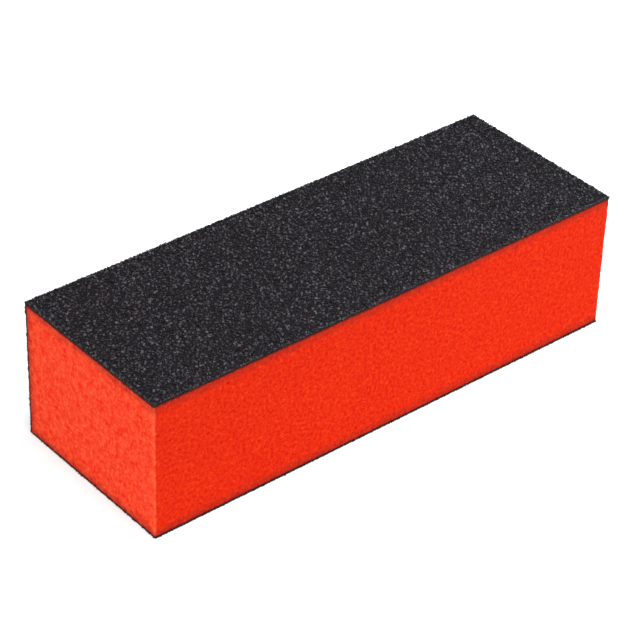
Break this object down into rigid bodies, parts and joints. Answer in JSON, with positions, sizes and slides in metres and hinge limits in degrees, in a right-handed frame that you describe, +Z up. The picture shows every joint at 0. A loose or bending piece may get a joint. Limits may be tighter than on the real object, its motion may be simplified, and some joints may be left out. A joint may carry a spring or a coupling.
{
  "type": "nail buffer block",
  "caption": "Oblong springy foam block for smoothing nails, with coarse black abrasive sheets bonded to its two broad faces and one long side.",
  "frame": {"origin": "centre of the block's underside, on the face of the bottom abrasive sheet", "axes": "+Z up; +X along the length; +Y towards the long side that carries the back abrasive sheet, so the bare foam side faces -Y"},
  "size_m": [0.094, 0.0334, 0.0256],
  "materials": {
    "foam": "matte, fine closed cells",
    "adhesive": "dull film",
    "backing": "matte waterproof paper",
    "resin": "glossy cured resin",
    "grit": "coarse, sharp, glinting grains"
  },
  "bodies": {
    "root": {"foam_core": "foam", "top_adhesive": "adhesive", "top_backing": "backing", "top_resin_coat": "resin", "top_grit": "grit", "back_adhesive": "adhesive", "back_backing": "backing", "back_resin_coat": "resin", "back_grit": "grit", "bottom_adhesive": "adhesive", "bottom_backing": "backing", "bottom_resin_coat": "resin", "bottom_grit": "grit"}
  },
  "joints": []
}
